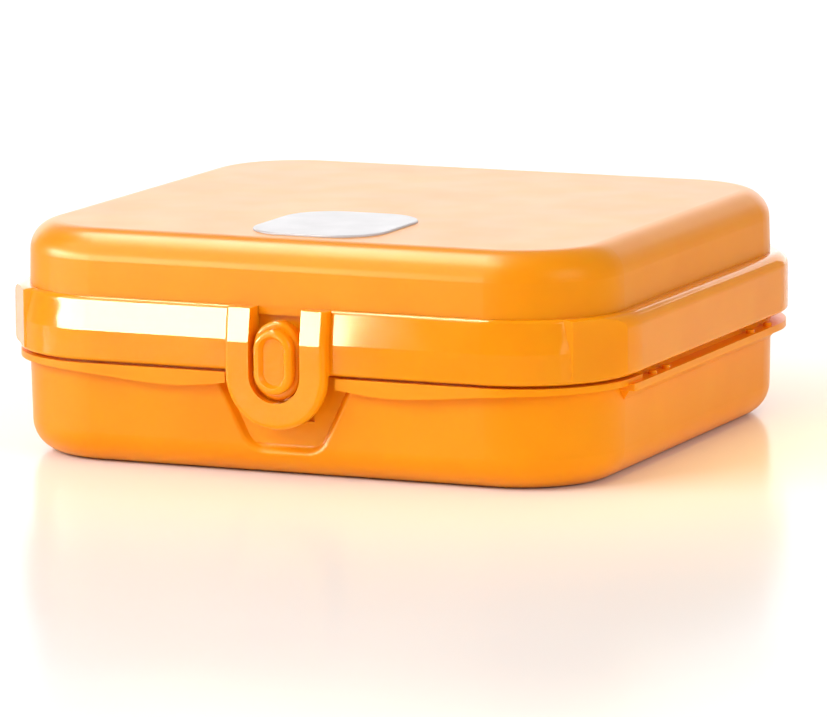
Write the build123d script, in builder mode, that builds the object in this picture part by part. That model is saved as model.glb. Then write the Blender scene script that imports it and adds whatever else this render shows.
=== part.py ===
from build123d import *
from math import cos, radians, sin, tan
import os

# Hinged snap case with a mouthguard inside it.
#
# A rounded-square two-part case in translucent plastic. The lid shell sits in a polished clasp band, whose
# U-shaped loop hangs in front of the base and catches under the button of a spring tongue. Two pins join lid
# and base at the back. The mouthguard lies loose on drying ribs in the base.
#
# Frame: origin on the floor under the middle of the case, +X to the right, +Y to the back (the hinge side),
# +Z up. Millimetres.

os.makedirs("parts", exist_ok=True)

# ---------------------------------------------------------------- driving dimensions
case_w = 90.0          # shells, along X
case_d = 84.0          # shells, along Y
case_h = 33.0
corner_r = 15.0        # plan corners of the shells
wall = 1.8
draft = 1.2            # degrees
bottom_fillet = 4.6
top_fillet = 4.2

split_z = 15.0         # underside of the clasp band
parting_gap = 0.4      # base rim to clasp band
band_top_z = 24.0
band_out = 1.4         # band in front of the shell, front and back
crease_z = 19.3        # above this the band's face leans back
lean = 9.0             # degrees
grip_out = 2.5         # side grips
rebate = 0.8           # seat of the band in the lid shell
skirt_inset = 0.2      # inner face of the band's skirt
skirt_top_z = 18.0     # lower edge of the lid shell

upstand_inset = 0.5    # base rim that stands up inside the skirt
upstand_wall = 1.2
upstand_top_z = 17.2

bead_out = 1.3         # bead along the base's front edge
flange_out = 2.2       # fins along the base's sides
flange_top_z = 14.0

loop_half_w = 7.6      # U-shaped clasp loop
loop_out = 3.2
loop_thick = 1.5
slot_half_w = 3.9
arc_z = 14.8           # centre of the round bottoms of loop, slot and button
button_out = 4.0       # button in front of the shell
button_gap = 0.4       # button block to slot

hinge_out = 2.2        # hinge axis behind the shell
hinge_z = 14.8
barrel_r = 1.8
pin_r = 0.8
hinge_x = 24.0         # middle of each hinge
knuckle_w = 6.0
knuckle_gap = 0.3
leaf_root = 0.8        # web's root, into the base's wall or the band
pin_fit = 0.02         # pin to the base's knuckles
pin_play = 0.06        # pin to the lid's knuckles

guard_r = 27.0         # front arc of the mouthguard's outer edge
guard_leg = 26.0
guard_w = 13.0         # across the channel
guard_h = 18.0
guard_y = 3.0          # centre of the front arc

# ---------------------------------------------------------------- derived places
front_y = -case_d / 2
back_y = case_d / 2
rim_z = split_z - parting_gap
hinge_y = back_y + hinge_out


def plan(inset):
    """Rounded rectangle of the case, inset from the shell's outline."""
    return RectangleRounded(case_w - 2 * inset, case_d - 2 * inset, corner_r - inset)


def plan_ring(outer_inset, inner_inset):
    """Ring between two insets of the case's outline."""
    plan(outer_inset)
    offset(amount=outer_inset - inner_inset, mode=Mode.SUBTRACT)


def hinge_leaf(rise):
    """Section of a knuckle: barrel and a 45-degree web, down to the base (-1) or up to the lid (1)."""
    tangent = barrel_r * sin(radians(45))
    root_y = back_y + rise * leaf_root
    foot_z = hinge_z + rise * (tangent + hinge_y + tangent - root_y)
    with Locations((hinge_y, hinge_z)):
        Circle(barrel_r)
    Polygon((root_y, hinge_z + rise * parting_gap), (hinge_y, hinge_z),
            (hinge_y + tangent, hinge_z + rise * tangent), (root_y, foot_z), align=None)


def knuckle_places(offsets):
    """X of the left side of each knuckle, for knuckles counted from the middle of each hinge."""
    pitch = knuckle_w + knuckle_gap
    return [side * hinge_x + k * pitch - knuckle_w / 2 for side in (-1, 1) for k in offsets]


side_plane = Plane(origin=(0, 0, 0), x_dir=(0, 1, 0), z_dir=(1, 0, 0))   # sketches in Y and Z


def front_plane(y):
    """Sketch plane at depth y, seen from the front: x to the right, y up."""
    return Plane(origin=(0, y, 0), x_dir=(1, 0, 0), z_dir=(0, -1, 0))


# ---------------------------------------------------------------- bead of the base's front edge
bead_low_z = 12.4
bead_end_z = 13.7
bead_dip_x = 15.0
bead_back_y = -24.0

with BuildPart() as front_bead:
    with BuildSketch(Plane.XY.offset(bead_low_z - 1)):
        plan(-bead_out)
    extrude(amount=rim_z - bead_low_z + 1)
    # underside: lowest a little way out from the latch, rising to a narrow lip towards the corners
    with BuildSketch(front_plane(0)):
        with BuildLine():
            Spline((0, bead_end_z), (bead_dip_x / 2, bead_end_z - 0.5), (bead_dip_x, bead_low_z),
                   (2 * bead_dip_x, bead_end_z - 0.4), (case_w / 2, bead_end_z), (case_w, bead_end_z))
            Polyline((case_w, bead_end_z), (case_w, 0), (0, 0), (0, bead_end_z))
        make_face()
        mirror(about=Plane.YZ)
    extrude(amount=case_d, both=True, mode=Mode.SUBTRACT)
    with BuildSketch(Plane.XY):
        with Locations((0, bead_back_y + case_d)):
            Rectangle(2 * case_w, 2 * case_d)
    extrude(amount=case_h, mode=Mode.SUBTRACT)

# ---------------------------------------------------------------- base shell
rib_h = 1.0
rib_y = (-20.0, -8.0, 4.0, 16.0)
pocket_depth = 1.2
pocket_round = 0.8
pocket_corner_r = 4.0
pocket_slope = 40            # degrees
pocket_low_z = 3.2
pocket_low_half_w = 5.5
pocket_high_half_w = 11.5
channel_half_w = slot_half_w + 0.3
channel_low_z = 8.0
channel_floor_y = front_y + 1.6
pad_half_w = 14.0
pad_back_y = front_y + 3.6
flange_front_y = -29.0
flange_back_x = 33.0
flange_thick = 1.0
web_out = 1.4
web_slope = 44               # degrees
nib_y = (-20.0, -15.0, 18.0, 25.0)
nib_out = 1.2
nib_r = 0.6
nib_h = 0.5
rib_length = 66.0
rib_thick = 1.6
pad_front_y = front_y + 1.0
loop_clear = 0.8             # bead to loop

with BuildPart() as base_shell:
    with BuildSketch(Plane.XY.offset(rim_z)):
        plan(0)
    extrude(amount=-rim_z, taper=draft)
    fillet(base_shell.faces().sort_by(Axis.Z)[0].edges(), bottom_fillet)
    # recess that the clasp loop hangs in, with soft edges
    with BuildSketch(front_plane(front_y)) as pocket:
        Polygon((-pocket_low_half_w, pocket_low_z), (pocket_low_half_w, pocket_low_z),
                (pocket_high_half_w, rim_z + 1), (-pocket_high_half_w, rim_z + 1), align=None)
        fillet(pocket.vertices().group_by(Axis.Y)[0], pocket_corner_r)
    extrude(amount=-pocket_depth, taper=pocket_slope, mode=Mode.SUBTRACT)
    near_front = base_shell.edges().filter_by(lambda edge: front_y - 0.1 < (edge @ 0.5).Y < front_y + 0.4)
    near_latch = near_front.filter_by(lambda edge: abs((edge @ 0.5).X) < pocket_high_half_w)
    pocket_outline = near_latch.filter_by(lambda edge: pocket_low_z - 1 < (edge @ 0.5).Z < rim_z - 1)
    fillet(pocket_outline, pocket_round)
    pocket_floor = base_shell.faces().filter_by(Axis.Y).sort_by(Axis.Y)[0]
    fillet(pocket_floor.edges().filter_by(lambda edge: (edge @ 0.5).Z < rim_z - 0.5), pocket_round)
    add(front_bead.part)
    # side fins, with a sloping web beneath
    for out, top_z, height, slope in ((flange_out, flange_top_z, flange_thick, 0),
                                      (web_out, flange_top_z - flange_thick, web_out, web_slope)):
        with BuildSketch(Plane.XY.offset(top_z)):
            plan(-out)
            with Locations((0, flange_front_y - case_d)):
                Rectangle(2 * case_w, 2 * case_d, mode=Mode.SUBTRACT)
            with Locations((0, case_d / 2)):
                Rectangle(2 * flange_back_x, case_d, mode=Mode.SUBTRACT)
        extrude(amount=-height, taper=slope)
    with Locations(*[(side * (case_w / 2 + nib_out), y, flange_top_z) for side in (-1, 1) for y in nib_y]):
        Cylinder(nib_r, nib_h, align=(Align.CENTER, Align.CENTER, Align.MIN))
    # cavity
    with BuildSketch(Plane.XY.offset(rim_z)):
        plan(wall)
    extrude(amount=wall - rim_z, taper=draft, mode=Mode.SUBTRACT)
    cavity_floor = base_shell.faces().filter_by(Plane.XY).filter_by_position(Axis.Z, wall - 0.1, wall + 0.1)
    fillet(cavity_floor.edges(), bottom_fillet - wall)
    # thicker wall behind the latch
    with BuildSketch(Plane.XY.offset(bottom_fillet)):
        with Locations((0, (pad_front_y + pad_back_y) / 2)):
            Rectangle(2 * pad_half_w, pad_back_y - pad_front_y)
    extrude(amount=rim_z - bottom_fillet)
    # upstand inside the lid's skirt
    with BuildSketch(Plane.XY.offset(rim_z - 1.0)):
        plan_ring(upstand_inset, upstand_inset + upstand_wall)
    extrude(amount=upstand_top_z - rim_z + 1.0)
    # hinge knuckles, two to each hinge
    for x in knuckle_places((-1, 1)):
        with BuildSketch(side_plane.offset(x)):
            hinge_leaf(-1)
            with Locations((hinge_y, hinge_z)):
                Circle(pin_r + pin_fit, mode=Mode.SUBTRACT)
        extrude(amount=knuckle_w)
    # drying ribs
    with BuildSketch(Plane.XY.offset(wall / 2)):
        with Locations(*[(0, y) for y in rib_y]):
            SlotOverall(rib_length, rib_thick)
    extrude(amount=wall / 2 + rib_h)
    # gap in the bead for the loop
    with BuildSketch(front_plane(front_y)):
        with Locations((0, rim_z)):
            Rectangle(2 * (loop_half_w + loop_clear), 2 * (rim_z - bead_low_z))
    extrude(amount=2 * bead_out, mode=Mode.SUBTRACT)
    # channel of the spring tongue
    for low_z, high_z, floor_y in ((channel_low_z, rim_z, channel_floor_y),
                                   (rim_z, upstand_top_z, front_y + rebate)):
        with BuildSketch(front_plane(front_y - bead_out)):
            with Locations((0, (low_z + high_z) / 2)):
                Rectangle(2 * channel_half_w, high_z - low_z)
        extrude(amount=-(floor_y - front_y + bead_out), mode=Mode.SUBTRACT)
base_shell.part.label = "base_shell"
export_step(base_shell.part, "parts/base_shell.step")

# ---------------------------------------------------------------- hinge pins
pin_inset = 0.2              # pin's ends inside the outer knuckles
pin_chamfer = 0.2
pin_length = 3 * knuckle_w + 2 * knuckle_gap - 2 * pin_inset
for side, name in ((-1, "hinge_pin_left"), (1, "hinge_pin_right")):
    with BuildPart() as hinge_pin:
        with BuildSketch(side_plane.offset(side * hinge_x - pin_length / 2)):
            with Locations((hinge_y, hinge_z)):
                Circle(pin_r)
        extrude(amount=pin_length)
        chamfer(hinge_pin.edges(), pin_chamfer)
    hinge_pin.part.label = name
    export_step(hinge_pin.part, f"parts/{name}.step")

# ---------------------------------------------------------------- spring tongue with its button
block_half_w = slot_half_w - button_gap
block_top_z = 22.3
block_face_y = front_y - 2.4
block_back_y = front_y - 0.6
blade_front_y = front_y - 1.0
blade_back_y = front_y + 0.2
blade_low_z = 8.3
blade_top_z = 13.0
button_rim_w = 5.8
button_rim_h = 9.1
button_rim_round = 0.6
block_round = 0.5
block_h = block_top_z - arc_z + block_half_w
dish_depth = 0.7
dish_slope = 35              # degrees
dish_rim = 0.9
blade_corner_r = 0.8

with BuildPart() as latch_button:
    with BuildSketch(front_plane(block_back_y)):
        with Locations((0, block_top_z - block_h / 2)):
            SlotOverall(block_h, 2 * block_half_w, rotation=90)
    extrude(amount=block_back_y - block_face_y)
    fillet(latch_button.faces().sort_by(Axis.Y)[0].edges(), block_round)
    with BuildSketch(front_plane(block_face_y + 0.2)):
        with Locations((0, block_top_z - block_h / 2)):
            SlotOverall(button_rim_h, button_rim_w, rotation=90)
    extrude(amount=block_face_y + 0.2 - (front_y - button_out))
    fillet(latch_button.faces().sort_by(Axis.Y)[0].edges(), button_rim_round)
    with BuildSketch(front_plane(front_y - button_out)):
        with Locations((0, block_top_z - block_h / 2)):
            SlotOverall(button_rim_h - 2 * dish_rim, button_rim_w - 2 * dish_rim, rotation=90)
    extrude(amount=-dish_depth, taper=dish_slope, mode=Mode.SUBTRACT)
    # blade behind the loop's bottom bar, down into the base's channel
    with BuildSketch(front_plane(blade_back_y)):
        with Locations((0, (blade_low_z + blade_top_z) / 2)):
            RectangleRounded(2 * block_half_w, blade_top_z - blade_low_z, blade_corner_r)
    extrude(amount=blade_back_y - blade_front_y)
latch_button.part.label = "latch_button"
export_step(latch_button.part, "parts/latch_button.step")

# ---------------------------------------------------------------- lid shell
filler_low_z = 22.8
badge_x = 0.0
badge_y = -24.0
badge_w = 20.0
badge_d = 23.0
badge_r = 7.0
badge_seat = 0.5
badge_thick = 0.8
badge_round = 0.25

with BuildPart() as lid_shell:
    with BuildSketch(Plane.XY.offset(skirt_top_z)):
        plan(0)
    extrude(amount=case_h - skirt_top_z, taper=draft)
    fillet(lid_shell.faces().sort_by(Axis.Z)[-1].edges(), top_fillet)
    with BuildSketch(Plane.XY.offset(skirt_top_z)):
        plan(wall)
    extrude(amount=case_h - wall - skirt_top_z, taper=draft, mode=Mode.SUBTRACT)
    fillet(lid_shell.faces().filter_by(Plane.XY).sort_by(Axis.Z)[-2].edges(), top_fillet - wall)
    # seat of the clasp band, all round but for a small land above the button
    with BuildSketch(Plane.XY.offset(skirt_top_z)):
        plan_ring(-1.0, rebate)
    extrude(amount=band_top_z - skirt_top_z, mode=Mode.SUBTRACT)
    with BuildSketch(Plane.XY.offset(filler_low_z)):
        with Locations((0, front_y + (0.2 + rebate + 0.3) / 2)):
            Rectangle(2 * slot_half_w - 0.1, rebate + 0.1)
    extrude(amount=band_top_z - filler_low_z)
    # pocket for the badge
    with BuildSketch(Plane.XY.offset(case_h)):
        with Locations((badge_x, badge_y)):
            RectangleRounded(badge_w, badge_d, badge_r)
    extrude(amount=-badge_seat, mode=Mode.SUBTRACT)
lid_shell.part.label = "lid_shell"
export_step(lid_shell.part, "parts/lid_shell.step")

# ---------------------------------------------------------------- side grips
grip_low_z = 15.5
grip_top_z = band_top_z
grip_back_x = 33.0
grip_round = 2.0
grip_foot_round = 0.6
# the grips run out into the band along a slanted line over each front corner
corner_x = case_w / 2 - corner_r
corner_y = front_y + corner_r
foot_r = corner_r + band_out
head_r = corner_r + grip_out
foot_angle = radians(34)
head_angle = radians(14)
slope_foot = Vector(corner_x + foot_r * cos(foot_angle), corner_y - foot_r * sin(foot_angle))
slope_head = Vector(corner_x + head_r * cos(head_angle), corner_y - head_r * sin(head_angle))
cut_inner = slope_foot - (slope_head - slope_foot) * 0.5
cut_outer = slope_head + (slope_head - slope_foot) * 0.5

with BuildPart() as side_grips:
    with BuildSketch(Plane.XY.offset(grip_low_z)):
        plan(-grip_out)
    extrude(amount=grip_top_z - grip_low_z)
    fillet(side_grips.faces().sort_by(Axis.Z)[-1].edges(), grip_round)
    fillet(side_grips.faces().sort_by(Axis.Z)[0].edges(), grip_foot_round)
    with BuildSketch(Plane.XY.offset(grip_low_z)):
        plan(rebate)
        with BuildLine():
            Polyline((cut_inner.X, cut_inner.Y), (cut_outer.X, cut_outer.Y), (case_w, cut_outer.Y),
                     (case_w, -case_d), (-case_w, -case_d), (-case_w, cut_outer.Y),
                     (-cut_outer.X, cut_outer.Y), (-cut_inner.X, cut_inner.Y), close=True)
        make_face()
        Rectangle(2 * grip_back_x, 2 * case_d)
    extrude(amount=grip_top_z - grip_low_z, mode=Mode.SUBTRACT)

# ---------------------------------------------------------------- hanging loop
loop_face_y = front_y - loop_out
loop_back_y = loop_face_y + loop_thick
loop_round = 0.7

with BuildPart() as clasp_loop:
    with BuildSketch(front_plane(front_y)):
        with Locations((0, arc_z)):
            Circle(loop_half_w)
        with Locations((0, (arc_z + band_top_z) / 2)):
            Rectangle(2 * loop_half_w, band_top_z - arc_z)
    extrude(amount=loop_out)
    # the face leans back above the crease, like the band's
    with BuildSketch(side_plane):
        lean_y = loop_face_y + (band_top_z + 1 - crease_z) * tan(radians(lean))
        Polygon((loop_face_y, crease_z), (lean_y, band_top_z + 1), (loop_face_y - 1, band_top_z + 1),
                (loop_face_y - 1, crease_z), align=None)
    extrude(amount=2 * loop_half_w, both=True, mode=Mode.SUBTRACT)
    face_edges = clasp_loop.edges().filter_by(lambda edge: (edge @ 0.5).Y < loop_face_y + 1)
    fillet(face_edges.filter_by(lambda edge: abs(edge.length - 2 * loop_half_w) > 0.01), loop_round)

# ---------------------------------------------------------------- clasp band with its loop
band_top_round = 0.6
band_foot_round = 0.5

with BuildPart() as clasp_band:
    with BuildSketch(Plane.XY.offset(split_z)):
        plan(-band_out)
    extrude(amount=crease_z - split_z)
    with BuildSketch(Plane.XY.offset(crease_z)):
        plan(-band_out)
    extrude(amount=band_top_z - crease_z, taper=lean)
    fillet(clasp_band.faces().sort_by(Axis.Z)[-1].edges(), band_top_round)
    fillet(clasp_band.faces().sort_by(Axis.Z)[0].edges(), band_foot_round)
    add(side_grips.part)
    for low_z, high_z, inset in ((split_z, skirt_top_z, skirt_inset), (skirt_top_z, grip_top_z, rebate)):
        with BuildSketch(Plane.XY.offset(low_z)):
            plan(inset)
        extrude(amount=high_z - low_z, mode=Mode.SUBTRACT)
    add(clasp_loop.part)
    with BuildSketch(front_plane(loop_back_y)):
        with Locations((0, split_z - loop_half_w)):
            Rectangle(3 * loop_half_w, 2 * loop_half_w)
    extrude(amount=-case_d / 4, mode=Mode.SUBTRACT)
    with BuildSketch(front_plane(front_y + 2 * rebate)):
        with Locations((0, arc_z)):
            Circle(slot_half_w)
        with Locations((0, (arc_z + grip_top_z) / 2)):
            Rectangle(2 * slot_half_w, grip_top_z - arc_z)
    extrude(amount=case_d / 4, mode=Mode.SUBTRACT)
    # hinge knuckles between the base's, and room for the base's
    for x in knuckle_places((0,)):
        with BuildSketch(side_plane.offset(x)):
            hinge_leaf(1)
        extrude(amount=knuckle_w)
    for x in knuckle_places((-1, 1)):
        with BuildSketch(side_plane.offset(x - knuckle_gap)):
            with Locations((hinge_y, hinge_z)):
                Circle(barrel_r + knuckle_gap)
        extrude(amount=knuckle_w + 2 * knuckle_gap, mode=Mode.SUBTRACT)
    for x in knuckle_places((0,)):
        with BuildSketch(side_plane.offset(x)):
            with Locations((hinge_y, hinge_z)):
                Circle(pin_r + pin_play)
        extrude(amount=knuckle_w, mode=Mode.SUBTRACT)
clasp_band.part.label = "clasp_band"
export_step(clasp_band.part, "parts/clasp_band.step")

# ---------------------------------------------------------------- blank badge in the lid
with BuildPart() as lid_badge:
    with BuildSketch(Plane.XY.offset(case_h - badge_seat)):
        with Locations((badge_x, badge_y)):
            RectangleRounded(badge_w, badge_d, badge_r)
    extrude(amount=badge_thick)
    fillet(lid_badge.faces().sort_by(Axis.Z)[-1].edges(), badge_round)
lid_badge.part.label = "lid_badge"
export_step(lid_badge.part, "parts/lid_badge.step")

# ---------------------------------------------------------------- mouthguard
guard_low_z = wall + rib_h
leg_angle = radians(80)      # half of the front arc; the legs run on straight from it
outer_wall = 2.4
inner_wall = 2.0
inner_h = 12.0
bite_t = 3.0
liner_t = 1.4
liner_drop = 2.5             # liner's edge below the shell's
frame_low = 5.0
frame_h = 7.0
frame_t = 1.0
frame_back_y = guard_y - 6


def arch(outer, inner):
    """Horseshoe between two distances inward from the mouthguard's outer edge."""
    with Locations((0, guard_y)):
        Circle(guard_r - outer)
        Circle(guard_r - inner, mode=Mode.SUBTRACT)
    reach = 2 * guard_r
    end = (reach * sin(leg_angle), guard_y - reach * cos(leg_angle))
    Polygon((0, guard_y), end, (end[0], reach), (-end[0], reach), (-end[0], end[1]), align=None,
            mode=Mode.SUBTRACT)
    for side in (-1, 1):
        corners = []
        for edge in (outer, inner):
            foot = (side * (guard_r - edge) * sin(leg_angle), guard_y - (guard_r - edge) * cos(leg_angle))
            tip = (foot[0] + side * guard_leg * cos(leg_angle), foot[1] + guard_leg * sin(leg_angle))
            corners += [foot, tip] if edge == outer else [tip, foot]
        Polygon(*corners, align=None)


with BuildPart() as mouthguard_shell:
    for outer, inner, height in ((0, guard_w, bite_t), (0, outer_wall, guard_h),
                                 (guard_w - inner_wall, guard_w, inner_h)):
        with BuildSketch(Plane.XY.offset(guard_low_z)):
            arch(outer, inner)
        extrude(amount=height)
    with BuildSketch(Plane.XY.offset(guard_low_z + frame_low)):
        arch(0, frame_t)
        with Locations((0, frame_back_y + case_d / 2)):
            Rectangle(case_w, case_d, mode=Mode.SUBTRACT)
    extrude(amount=frame_h, mode=Mode.SUBTRACT)
mouthguard_shell.part.label = "mouthguard_shell"
export_step(mouthguard_shell.part, "parts/mouthguard_shell.step")

with BuildPart() as mouthguard_frame:
    with BuildSketch(Plane.XY.offset(guard_low_z + frame_low)):
        arch(0, frame_t)
        with Locations((0, frame_back_y + case_d / 2)):
            Rectangle(case_w, case_d, mode=Mode.SUBTRACT)
    extrude(amount=frame_h)
mouthguard_frame.part.label = "mouthguard_frame"
export_step(mouthguard_frame.part, "parts/mouthguard_frame.step")

liner_in = guard_w - inner_wall

with BuildPart() as mouthguard_liner:
    for outer, inner, top in ((outer_wall, liner_in, bite_t + liner_t),
                              (outer_wall, outer_wall + liner_t, guard_h - liner_drop),
                              (liner_in - liner_t, liner_in, inner_h - liner_drop / 2)):
        with BuildSketch(Plane.XY.offset(guard_low_z + bite_t)):
            arch(outer, inner)
        extrude(amount=top - bite_t)
mouthguard_liner.part.label = "mouthguard_liner"
export_step(mouthguard_liner.part, "parts/mouthguard_liner.step")
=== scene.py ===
"""Looks of the mouthguard case: materials, mouthguard meshes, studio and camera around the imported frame."""
import math

import bmesh
import bpy
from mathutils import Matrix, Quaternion, Vector


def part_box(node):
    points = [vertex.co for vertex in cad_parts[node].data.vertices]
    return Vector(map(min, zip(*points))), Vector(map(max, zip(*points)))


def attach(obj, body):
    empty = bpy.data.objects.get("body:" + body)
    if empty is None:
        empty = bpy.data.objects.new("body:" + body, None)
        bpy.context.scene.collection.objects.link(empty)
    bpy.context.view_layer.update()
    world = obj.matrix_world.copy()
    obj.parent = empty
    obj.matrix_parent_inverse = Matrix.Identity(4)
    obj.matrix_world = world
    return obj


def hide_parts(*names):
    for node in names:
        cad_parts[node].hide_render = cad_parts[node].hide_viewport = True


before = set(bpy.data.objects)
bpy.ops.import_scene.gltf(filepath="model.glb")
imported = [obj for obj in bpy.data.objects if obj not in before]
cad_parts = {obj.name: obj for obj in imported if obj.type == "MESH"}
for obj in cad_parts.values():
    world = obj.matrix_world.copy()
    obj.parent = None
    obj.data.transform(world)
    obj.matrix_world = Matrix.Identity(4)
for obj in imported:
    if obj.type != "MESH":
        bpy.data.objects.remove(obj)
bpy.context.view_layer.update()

MM = 0.001
NOISE_LOW = 0.3                   # usual range of a noise texture
NOISE_HIGH = 0.7
SCATTER = (1.0, 0.45, 0.1)        # red light travels furthest inside the orange plastic


# ---------------------------------------------------------------- node helpers
class Shader:
    """A material with one Principled surface and short ways to add nodes to it."""

    def __init__(self, name, **sockets):
        self.material = bpy.data.materials.new(name)
        self.material.use_nodes = True
        self.tree = self.material.node_tree
        self.surface = self.tree.nodes["Principled BSDF"]
        for socket, value in sockets.items():
            self.surface.inputs[socket.replace("_", " ")].default_value = value
        self.place = self.tree.nodes.new("ShaderNodeTexCoord").outputs["Object"]

    def node(self, kind, **inputs):
        new = self.tree.nodes.new(kind)
        for name, value in inputs.items():
            socket = new.inputs[name.replace("_", " ")]
            if isinstance(value, bpy.types.NodeSocket):
                self.tree.links.new(value, socket)
            else:
                socket.default_value = value
        return new

    def noise(self, size, detail):
        """Noise whose blobs are about size metres across."""
        new = self.node("ShaderNodeTexNoise", Vector=self.place, Scale=1 / size, Detail=detail)
        return new.outputs["Fac"]

    def spread(self, value, low, high):
        """Maps the usual range of a noise to low and high."""
        new = self.node("ShaderNodeMapRange", Value=value, From_Min=NOISE_LOW, From_Max=NOISE_HIGH, To_Min=low,
                        To_Max=high)
        return new.outputs["Result"]

    def colours(self, value, deep, light):
        """Base colour that runs from deep to light with a noise."""
        ramp = self.node("ShaderNodeValToRGB", Fac=value)
        for element, position, colour in zip(ramp.color_ramp.elements, (NOISE_LOW, NOISE_HIGH), (deep, light)):
            element.position = position
            element.color = (*colour, 1.0)
        self.link(ramp.outputs["Color"], "Base Color")

    def bump(self, height, strength, distance, normal=None):
        new = self.node("ShaderNodeBump", Height=height, Strength=strength, Distance=distance)
        if normal is not None:
            self.tree.links.new(normal, new.inputs["Normal"])
        return new.outputs["Normal"]

    def link(self, output, socket):
        self.tree.links.new(output, self.surface.inputs[socket])


# ---------------------------------------------------------------- materials
def satin_plastic(name, deep, light):
    """Frosted, slightly translucent moulded plastic."""
    shader = Shader(name, Subsurface_Weight=0.35, Subsurface_Scale=0.004, Subsurface_Radius=SCATTER, IOR=1.49,
                    Specular_IOR_Level=0.3, Specular_Tint=(1.0, 0.75, 0.42, 1.0))
    shader.colours(shader.noise(18 * MM, 2.0), deep, light)
    shader.link(shader.spread(shader.noise(7 * MM, 1.0), 0.30, 0.33), "Roughness")
    grain = shader.bump(shader.noise(0.8 * MM, 1.0), 0.12, 0.00002)
    shader.link(shader.bump(shader.noise(16 * MM, 0.0), 0.08, 0.0001, grain), "Normal")
    return shader.material


def gloss_plastic(name, deep, light):
    """Polished, slightly translucent moulded plastic, with the faint waves of its mould."""
    shader = Shader(name, Subsurface_Weight=0.35, Subsurface_Scale=0.004, Subsurface_Radius=SCATTER, IOR=1.5,
                    Specular_IOR_Level=0.35, Specular_Tint=(1.0, 0.8, 0.5, 1.0))
    shader.colours(shader.noise(12 * MM, 2.0), deep, light)
    shader.link(shader.spread(shader.noise(6 * MM, 1.0), 0.05, 0.08), "Roughness")
    shader.link(shader.bump(shader.noise(11 * MM, 0.0), 0.25, 0.0001), "Normal")
    return shader.material


def steel(name):
    """Drawn wire."""
    shader = Shader(name, Metallic=1.0)
    shader.colours(shader.noise(0.4 * MM, 4.0), (0.42, 0.42, 0.44), (0.62, 0.62, 0.64))
    shader.link(shader.spread(shader.noise(0.3 * MM, 3.0), 0.22, 0.4), "Roughness")
    return shader.material


def badge_plastic(name):
    """Pale matt plastic."""
    shader = Shader(name, IOR=1.5, Specular_IOR_Level=0.25)
    shader.colours(shader.noise(6 * MM, 3.0), (0.54, 0.52, 0.53), (0.62, 0.59, 0.61))
    shader.link(shader.spread(shader.noise(5 * MM, 1.0), 0.28, 0.34), "Roughness")
    shader.link(shader.bump(shader.noise(0.8 * MM, 1.0), 0.12, 0.00002), "Normal")
    return shader.material


def rubber(name, deep, light, low=0.45, high=0.62):
    """Rubber or soft plastic, with a roughness between low and high."""
    shader = Shader(name, IOR=1.45)
    shader.colours(shader.noise(5 * MM, 3.0), deep, light)
    shader.link(shader.spread(shader.noise(3 * MM, 2.0), low, high), "Roughness")
    shader.link(shader.bump(shader.noise(0.7 * MM, 1.0), 0.2, 0.00003), "Normal")
    return shader.material


def gel(name):
    """Pale, cloudy gel."""
    shader = Shader(name, Subsurface_Weight=0.8, Subsurface_Scale=0.003, Subsurface_Radius=(1.0, 0.9, 0.8),
                    IOR=1.42)
    shader.colours(shader.noise(7 * MM, 3.0), (0.86, 0.86, 0.82), (0.93, 0.93, 0.90))
    shader.link(shader.spread(shader.noise(2 * MM, 3.0), 0.18, 0.32), "Roughness")
    shader.link(shader.bump(shader.noise(3 * MM, 2.0), 0.3, 0.0002), "Normal")
    return shader.material


def dress(node, material):
    """Gives a carried-over CAD node its finished material."""
    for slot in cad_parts[node].material_slots:
        slot.material = material


orange_satin = satin_plastic("orange_satin", (0.93, 0.285, 0.002), (0.98, 0.325, 0.003))
orange_gloss = gloss_plastic("orange_gloss", (0.94, 0.290, 0.002), (0.98, 0.330, 0.003))
pin_steel = steel("pin_steel")
dress("base_shell", orange_satin)
dress("lid_shell", orange_satin)
dress("clasp_band", orange_gloss)
dress("latch_button", orange_gloss)
dress("lid_badge", badge_plastic("badge_pale"))
dress("hinge_pin_left", pin_steel)
dress("hinge_pin_right", pin_steel)


# ---------------------------------------------------------------- mouthguard
guard_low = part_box("mouthguard_shell")[0]
FRONT_R = 27 * MM                 # front arc of the outer edge, as in the CAD solid
LEG_ANGLE = math.radians(80)      # half of that arc; the legs run on straight
LEG = 26 * MM
WIDTH = 13 * MM                   # across the channel
ARC_Y = guard_low[1] + FRONT_R
HALF_RUN = FRONT_R * LEG_ANGLE + LEG
STATIONS = 121
END_ROUND = 2.2 * MM
BITE = 3.0                        # bite floor, in millimetres above the ribs like the profiles
FRAME_REACH = 0.56 * HALF_RUN


def arch_point(run, inward, height):
    """Point at a distance along the outer edge from its front middle, inward from it and above the ribs."""
    side = 1 if run >= 0 else -1
    run = abs(run)
    angle = min(run / FRONT_R, LEG_ANGLE)
    leg = max(run - FRONT_R * LEG_ANGLE, 0)
    x = (FRONT_R - inward) * math.sin(angle) + leg * math.cos(angle)
    y = ARC_Y - (FRONT_R - inward) * math.cos(angle) + leg * math.sin(angle)
    return side * x, y, guard_low[2] + height


def smooth(value, low, high):
    """0 below low, 1 above high, with an S curve between."""
    t = min(max((value - low) / (high - low), 0), 1)
    return t * t * (3 - 2 * t)


def outer_height(run):
    """Lip side: notched for the frenum, tallest over the canines, lower over the molars."""
    notch = 3.2 * math.exp(-(run / (2.2 * MM)) ** 2)
    molars = 6.0 * smooth(abs(run), 0.45 * HALF_RUN, HALF_RUN)
    return (17.6 - notch - molars - 0.5 * math.exp(-(run / (12 * MM)) ** 2)) * MM


def inner_height(run):
    return (11.6 - 3.2 * smooth(abs(run), 0.4 * HALF_RUN, HALF_RUN)) * MM


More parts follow.
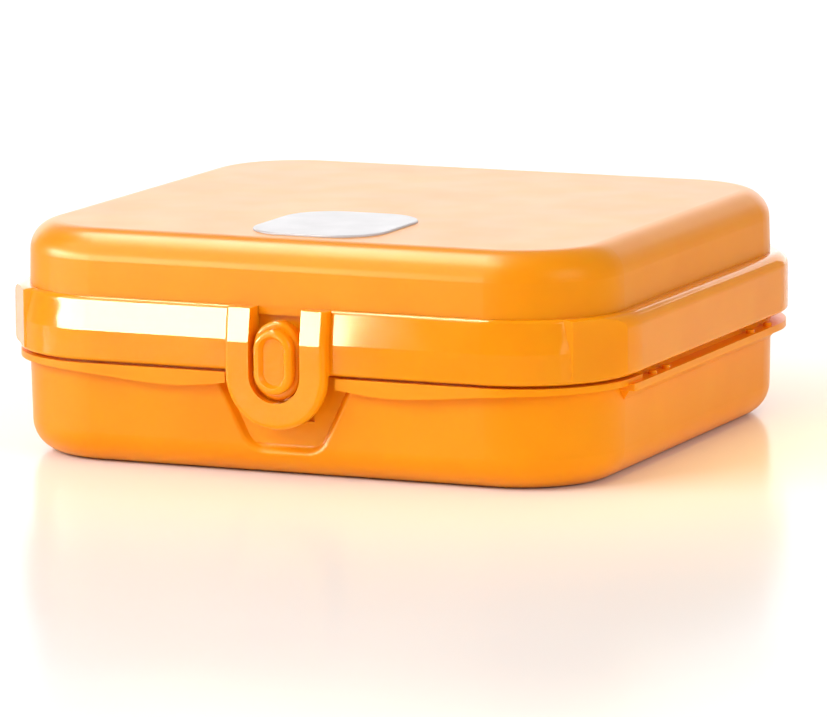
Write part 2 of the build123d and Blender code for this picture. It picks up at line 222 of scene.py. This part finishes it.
def swept(name, profile, reach, material, body_node):
    """Sweeps profile(run), a closed loop of (inward, height) points, along the arch from -reach to reach."""
    mesh = bpy.data.meshes.new(name)
    points, faces = [], []
    runs = [reach * math.sin(math.pi * (k / (STATIONS - 1) - 0.5)) for k in range(STATIONS)]
    for run in runs:
        loop = profile(run)
        middle = [sum(axis) / len(loop) for axis in zip(*loop)]
        # the ends close in a quarter round
        left = max(END_ROUND - (reach - abs(run)), 0) / END_ROUND
        keep = max(math.sqrt(max(1 - left * left, 0)), 0.12)
        for inward, height in loop:
            points.append(arch_point(run, middle[0] + (inward - middle[0]) * (0.55 + 0.45 * keep),
                                     middle[1] + (height - middle[1]) * (0.7 + 0.3 * keep)))
    count = len(loop)
    for k in range(STATIONS - 1):
        for j in range(count):
            n = (j + 1) % count
            faces.append((k * count + j, k * count + n, (k + 1) * count + n, (k + 1) * count + j))
    faces.append(tuple(range(count))[::-1])
    faces.append(tuple(range((STATIONS - 1) * count, STATIONS * count)))
    mesh.from_pydata(points, [], faces)
    work = bmesh.new()
    work.from_mesh(mesh)
    bmesh.ops.triangulate(work, faces=[face for face in work.faces if len(face.verts) > 4])
    bmesh.ops.recalc_face_normals(work, faces=work.faces)
    work.to_mesh(mesh)
    work.free()
    mesh.polygons.foreach_set("use_smooth", [True] * len(mesh.polygons))
    mesh.materials.append(material)
    piece = bpy.data.objects.new(name, mesh)
    bpy.context.collection.objects.link(piece)
    rounding = piece.modifiers.new("rounding", "SUBSURF")
    rounding.levels = rounding.render_levels = 1
    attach(piece, "mouthguard")
    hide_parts(body_node)


def shell_profile(run):
    """Channel with a thick bite floor, a tall lip wall and a low tongue wall."""
    lip, tongue = outer_height(run) / MM, inner_height(run) / MM
    grip = 0.18 * math.cos(run / (1.1 * MM)) * smooth(abs(run), 0.4 * HALF_RUN, 0.5 * HALF_RUN)
    width = WIDTH / MM
    loop = [(1.6, 0.25 + grip), (0.6, 0.9), (0.15, 2.6), (0.1, lip * 0.5), (0.35, lip - 2.2), (0.8, lip - 0.6),
            (1.4, lip - 0.1), (1.9, lip - 0.5), (2.2, lip - 1.6), (2.3, lip * 0.5), (2.4, BITE + 1.4),
            (3.1, BITE + 0.4), (4.6, BITE), (width - 4.6, BITE), (width - 2.8, BITE + 0.4),
            (width - 2.05, BITE + 1.3), (width - 1.9, tongue * 0.6), (width - 1.75, tongue - 1.0),
            (width - 1.25, tongue - 0.1), (width - 0.7, tongue - 0.5), (width - 0.3, tongue - 1.8),
            (width - 0.1, tongue * 0.5), (width - 0.1, 2.2), (width - 0.7, 0.7), (width - 2.0, 0.25 + grip),
            (width / 2, 0.15 + grip)]
    return [(inward * MM, height * MM) for inward, height in loop]


def liner_profile(run):
    """Soft gel lining of the channel, with shallow ribs that the teeth press into."""
    lip, tongue = outer_height(run) / MM - 2.6, inner_height(run) / MM - 1.3
    rib = 0.16 * math.cos(run / (0.75 * MM))
    width = WIDTH / MM
    loop = [(2.45, lip - 0.5), (2.45, lip * 0.6), (2.6, BITE + 1.6), (3.3, BITE + 0.6), (width / 2, BITE + 0.15),
            (width - 3.0, BITE + 0.6), (width - 2.25, BITE + 1.5), (width - 2.1, tongue * 0.75),
            (width - 2.1, tongue - 0.5), (width - 2.7, tongue), (width - 3.3 + rib, tongue - 0.6),
            (width - 3.5 + rib, BITE + 3.0), (width - 4.3, BITE + 1.7 - rib), (width / 2, BITE + 1.35 - rib),
            (4.6, BITE + 1.7 - rib), (3.85 - rib, BITE + 3.0), (3.7 - rib, lip * 0.6), (3.6 - rib, lip - 0.7),
            (3.05, lip)]
    return [(inward * MM, height * MM) for inward, height in loop]


def frame_profile(run):
    """Stiffening band on the lip wall, narrowing to its ends."""
    reach = run / FRAME_REACH
    half = 0.9 + 2.3 * (1 - reach ** 4)
    middle = 8.3 + 0.6 * math.exp(-(run / (9 * MM)) ** 2)
    loop = [(0.8, middle - half), (0.15, middle - half), (-0.2, middle - half + 0.35), (-0.3, middle - half * 0.5),
            (-0.12, middle - half * 0.3), (-0.12, middle + half * 0.3), (-0.3, middle + half * 0.5),
            (-0.2, middle + half - 0.35), (0.15, middle + half), (0.8, middle + half)]
    return [(inward * MM, height * MM) for inward, height in loop]


swept("guard_shell", shell_profile, HALF_RUN - 0.3 * MM,
      rubber("guard_rubber", (0.012, 0.012, 0.014), (0.022, 0.022, 0.025)), "mouthguard_shell")
swept("guard_liner", liner_profile, HALF_RUN - 2.2 * MM, gel("guard_gel"), "mouthguard_liner")
swept("guard_frame", frame_profile, FRAME_REACH,
      rubber("guard_band", (0.75, 0.14, 0.003), (0.85, 0.19, 0.005), 0.25, 0.35), "mouthguard_frame")


# ---------------------------------------------------------------- studio
def floor():
    """Plain pale ground, in metres out from the object."""
    size = 6.0
    mesh = bpy.data.meshes.new("floor")
    mesh.from_pydata([(-size, -size, 0), (size, -size, 0), (size, size, 0), (-size, size, 0)], [], [(0, 1, 2, 3)])
    plane = bpy.data.objects.new("floor", mesh)
    bpy.context.collection.objects.link(plane)
    shader = Shader("floor_white", Specular_IOR_Level=0.03)
    shader.colours(shader.noise(0.8, 2.0), (0.86, 0.86, 0.86), (0.88, 0.88, 0.88))
    shader.link(shader.spread(shader.noise(0.05, 2.0), 0.14, 0.2), "Roughness")
    mesh.materials.append(shader.material)
    return plane


def softbox(name, centre, target, width, height, watts, colour=(1, 1, 1)):
    """Rectangular area light at centre, facing target."""
    light = bpy.data.lights.new(name, "AREA")
    light.shape = "RECTANGLE"
    light.size = width
    light.size_y = height
    light.energy = watts
    light.color = colour
    lamp = bpy.data.objects.new(name, light)
    bpy.context.collection.objects.link(lamp)
    lamp.location = centre
    lamp.rotation_euler = (Vector(target) - Vector(centre)).to_track_quat("-Z", "Y").to_euler()
    return lamp


def only_lights(lamp, *receivers):
    """Makes a lamp light these objects alone, with nothing in its way."""
    lit = bpy.data.collections.new(lamp.name + "_lit")
    blocking = bpy.data.collections.new(lamp.name + "_blocking")
    for receiver in receivers:
        lit.objects.link(receiver)
    lamp.light_linking.receiver_collection = lit
    lamp.light_linking.blocker_collection = blocking


def studio():
    """White surroundings, soft boxes and the warm light that the case throws on the ground."""
    ground = floor()
    world = bpy.data.worlds.new("studio_white")
    world.use_nodes = True
    world.node_tree.nodes["Background"].inputs["Color"].default_value = (1, 1, 1, 1)
    world.node_tree.nodes["Background"].inputs["Strength"].default_value = 0.42
    bpy.context.scene.world = world
    bpy.context.scene.view_settings.view_transform = "Standard"
    # low strip at the front left, whose right edge ends its reflection at the clasp loop
    # strip and overhead give reflections alone
    strip = softbox("strip_left", (-0.36, -0.32, 0.085), (-0.02, -0.04, 0.02), 0.50, 0.06, 5.6)
    strip.visible_diffuse = False
    # overhead, for the soft light along the lid's rounded front edge
    overhead = softbox("overhead", (-0.38, -0.12, 0.88), (0, -0.04, 0.03), 0.9, 0.22, 18.0)
    overhead.visible_diffuse = False
    softbox("key_front", (-0.62, -0.70, 0.68), (0, 0, 0.02), 0.9, 0.6, 9.5)
    softbox("fill_right", (1.0, -0.35, 0.45), (0, 0, 0.02), 0.6, 0.6, 4.2)
    softbox("back_low", (-0.50, 1.15, 0.30), (0, 0, 0.03), 1.8, 0.6, 6.0)
    # light that has passed through the orange shells and warms the ground around them
    glow = softbox("glow", (0.008, -0.004, 0.05), (0.008, -0.004, 0), 0.12, 0.10, 0.09, (1.0, 0.60, 0.05))
    only_lights(glow, ground)


def camera():
    """A long lens from the front right, a little above the lid."""
    azimuth = math.radians(23.8)
    elevation = math.radians(8.97)
    roll = math.radians(-0.48)
    distance = 0.953
    middle = Vector((0, 0, 16.5 * MM))
    toward = Vector((math.sin(azimuth) * math.cos(elevation), -math.cos(azimuth) * math.cos(elevation),
                     math.sin(elevation)))
    data = bpy.data.cameras.new("camera")
    data.sensor_width = 36.0
    data.lens = 288.0
    data.clip_start = 0.01
    data.shift_x = 0.0097
    data.shift_y = -0.051
    cam = bpy.data.objects.new("camera", data)
    bpy.context.collection.objects.link(cam)
    cam.rotation_euler = (toward.to_track_quat("Z", "Y") @ Quaternion((0, 0, 1), roll)).to_euler()
    cam.location = middle + toward * distance
    bpy.context.scene.camera = cam


studio()
camera()
